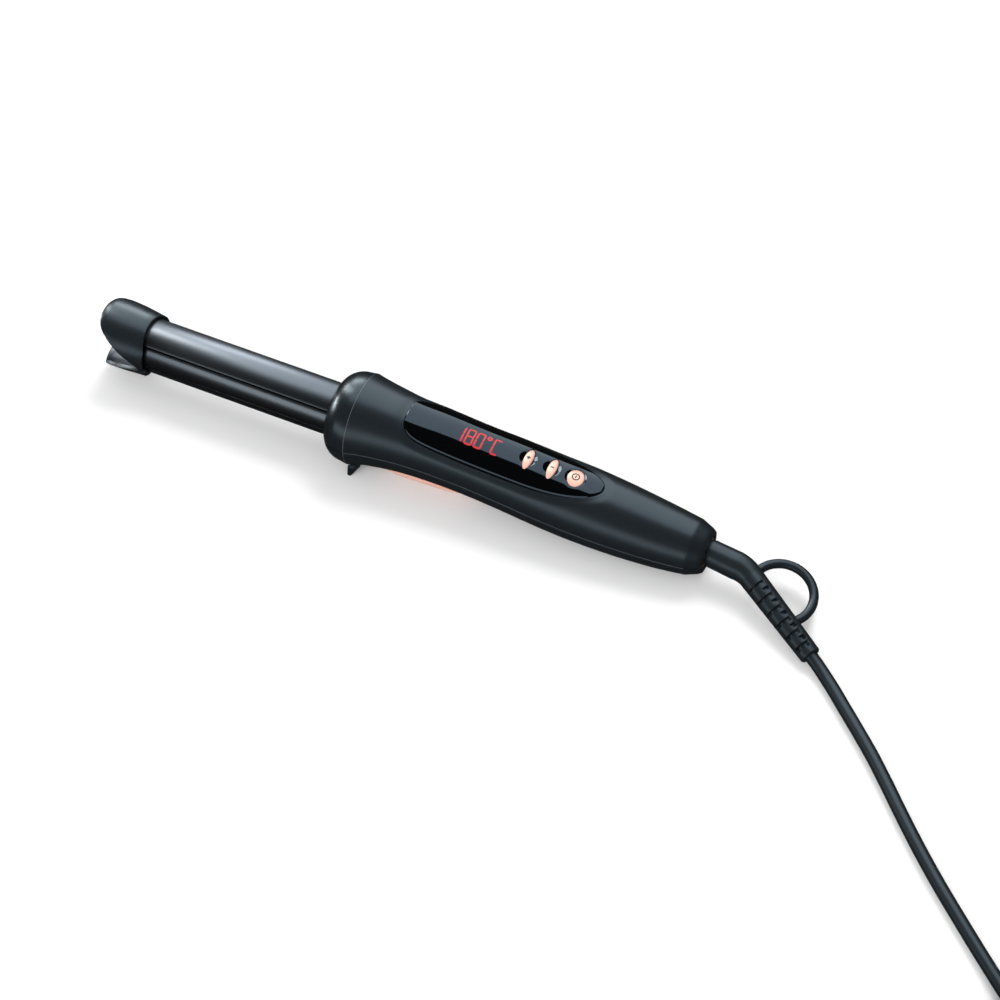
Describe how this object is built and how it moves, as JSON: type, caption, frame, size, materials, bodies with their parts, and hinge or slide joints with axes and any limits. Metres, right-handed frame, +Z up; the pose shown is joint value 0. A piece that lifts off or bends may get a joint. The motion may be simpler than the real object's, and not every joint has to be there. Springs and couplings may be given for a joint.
{
  "type": "curling iron",
  "caption": "Corded curling iron with a spring clamp: heated round barrel, cool tip, flared collar, tapered handle with display and keys, thumb lever, rest stand, swivel cord with hanging loop.",
  "frame": {"origin": "at table height, under the middle of the tool without its cord", "axes": "+X along the barrel from its tip towards the handle, +Y across the tool, +Z up with the display facing up"},
  "size_m": [0.5596, 0.2878, 0.0472],
  "materials": {
    "barrel_end_disc": "moulded",
    "barrel_holder": "moulded",
    "barrel_top_plate": "gloss ceramic coat",
    "barrel_tube": "gloss ceramic coat",
    "brush_holder": "moulded",
    "button_minus": "satin metallic rose gold",
    "button_plus": "satin metallic rose gold",
    "button_power": "satin metallic rose gold",
    "circuit_board": "solder mask",
    "clamp_arm": "brushed",
    "clamp_plate": "gloss ceramic coat",
    "clamp_spring": "brushed",
    "clamp_tip": "satin",
    "collar_lower": "satin",
    "collar_upper": "satin",
    "contact_brush_line": "plain",
    "contact_brush_neutral": "plain",
    "contact_ring_line": "plain",
    "contact_ring_neutral": "plain",
    "controller_chip": "polished",
    "cord_coil": "satin",
    "cord_run": "satin",
    "cord_tail": "satin",
    "cord_tie": "polished",
    "display_module": "polished",
    "display_window": "polished",
    "filter_capacitor": "plain",
    "handle_lower_shell": "satin",
    "handle_upper_shell": "satin",
    "heater_block_lower": "as extruded",
    "heater_block_upper": "as extruded",
    "heater_lead_line": "insulation",
    "heater_lead_neutral": "insulation",
    "heater_triac": "polished",
    "hinge_pin": "brushed",
    "lever": "satin metallic rose gold",
    "plug_body": "satin",
    "plug_pin_left": "plain",
    "plug_pin_right": "plain",
    "ptc_heater": "ceramic white",
    "sensor_lead": "insulation",
    "shell_screw_front": "brushed",
    "shell_screw_rear": "brushed",
    "strain_relief": "satin",
    "supply_lead_line": "insulation",
    "supply_lead_neutral": "insulation",
    "swivel_bush": "moulded",
    "swivel_shaft": "moulded",
    "tact_switch_minus": "polished",
    "tact_switch_plus": "polished",
    "tact_switch_power": "polished",
    "temperature_sensor": "ceramic white",
    "tip_cap": "satin"
  },
  "bodies": {
    "handle": {"barrel_end_disc": "barrel_end_disc", "barrel_holder": "barrel_holder", "barrel_top_plate": "barrel_top_plate", "barrel_tube": "barrel_tube", "brush_holder": "brush_holder", "circuit_board": "circuit_board", "clamp_spring": "clamp_spring", "collar_lower": "collar_lower", "collar_upper": "collar_upper", "contact_brush_line": "contact_brush_line", "contact_brush_neutral": "contact_brush_neutral", "controller_chip": "controller_chip", "display_module": "display_module", "display_window": "display_window", "filter_capacitor": "filter_capacitor", "handle_lower_shell": "handle_lower_shell", "handle_upper_shell": "handle_upper_shell", "heater_block_lower": "heater_block_lower", "heater_block_upper": "heater_block_upper", "heater_lead_line": "heater_lead_line", "heater_lead_neutral": "heater_lead_neutral", "heater_triac": "heater_triac", "hinge_pin": "hinge_pin", "ptc_heater": "ptc_heater", "sensor_lead": "sensor_lead", "shell_screw_front": "shell_screw_front", "shell_screw_rear": "shell_screw_rear", "supply_lead_line": "supply_lead_line", "supply_lead_neutral": "supply_lead_neutral", "swivel_bush": "swivel_bush", "tact_switch_minus": "tact_switch_minus", "tact_switch_plus": "tact_switch_plus", "tact_switch_power": "tact_switch_power", "temperature_sensor": "temperature_sensor", "tip_cap": "tip_cap"},
    "clamp": {"clamp_plate": "clamp_plate", "clamp_tip": "clamp_tip", "clamp_arm": "clamp_arm", "lever": "lever"},
    "button_plus": {"button_plus": "button_plus"},
    "button_minus": {"button_minus": "button_minus"},
    "button_power": {"button_power": "button_power"},
    "cord_swivel": {"swivel_shaft": "swivel_shaft", "contact_ring_line": "contact_ring_line", "contact_ring_neutral": "contact_ring_neutral", "strain_relief": "strain_relief", "cord_run": "cord_run", "cord_tail": "cord_tail", "cord_coil": "cord_coil", "cord_tie": "cord_tie", "plug_body": "plug_body", "plug_pin_left": "plug_pin_left", "plug_pin_right": "plug_pin_right"}
  },
  "joints": [
    {"name": "clamp_hinge", "type": "hinge", "parent": "handle", "child": "clamp", "pos_m": [-0.022, 0, 0.00925], "axis": [0, -1, 0], "range_deg": [0, 11], "stiffness_Nm_per_rad": 0.4, "springref_deg": -20.05},
    {"name": "button_plus_press", "type": "slide", "parent": "handle", "child": "button_plus", "axis": [-0.0847, 0, -0.9964], "range_m": [0, 0.0005], "stiffness_N_per_m": 1500, "springref_m": -0.0005},
    {"name": "button_minus_press", "type": "slide", "parent": "handle", "child": "button_minus", "axis": [-0.0847, 0, -0.9964], "range_m": [0, 0.0005], "stiffness_N_per_m": 1500, "springref_m": -0.0005},
    {"name": "button_power_press", "type": "slide", "parent": "handle", "child": "button_power", "axis": [-0.0847, 0, -0.9964], "range_m": [0, 0.0005], "stiffness_N_per_m": 1500, "springref_m": -0.0005},
    {"name": "cord_swivel", "type": "hinge", "parent": "handle", "child": "cord_swivel", "pos_m": [0.15925, 0, 0.01625], "axis": [1, 0, 0], "continuous": true}
  ]
}
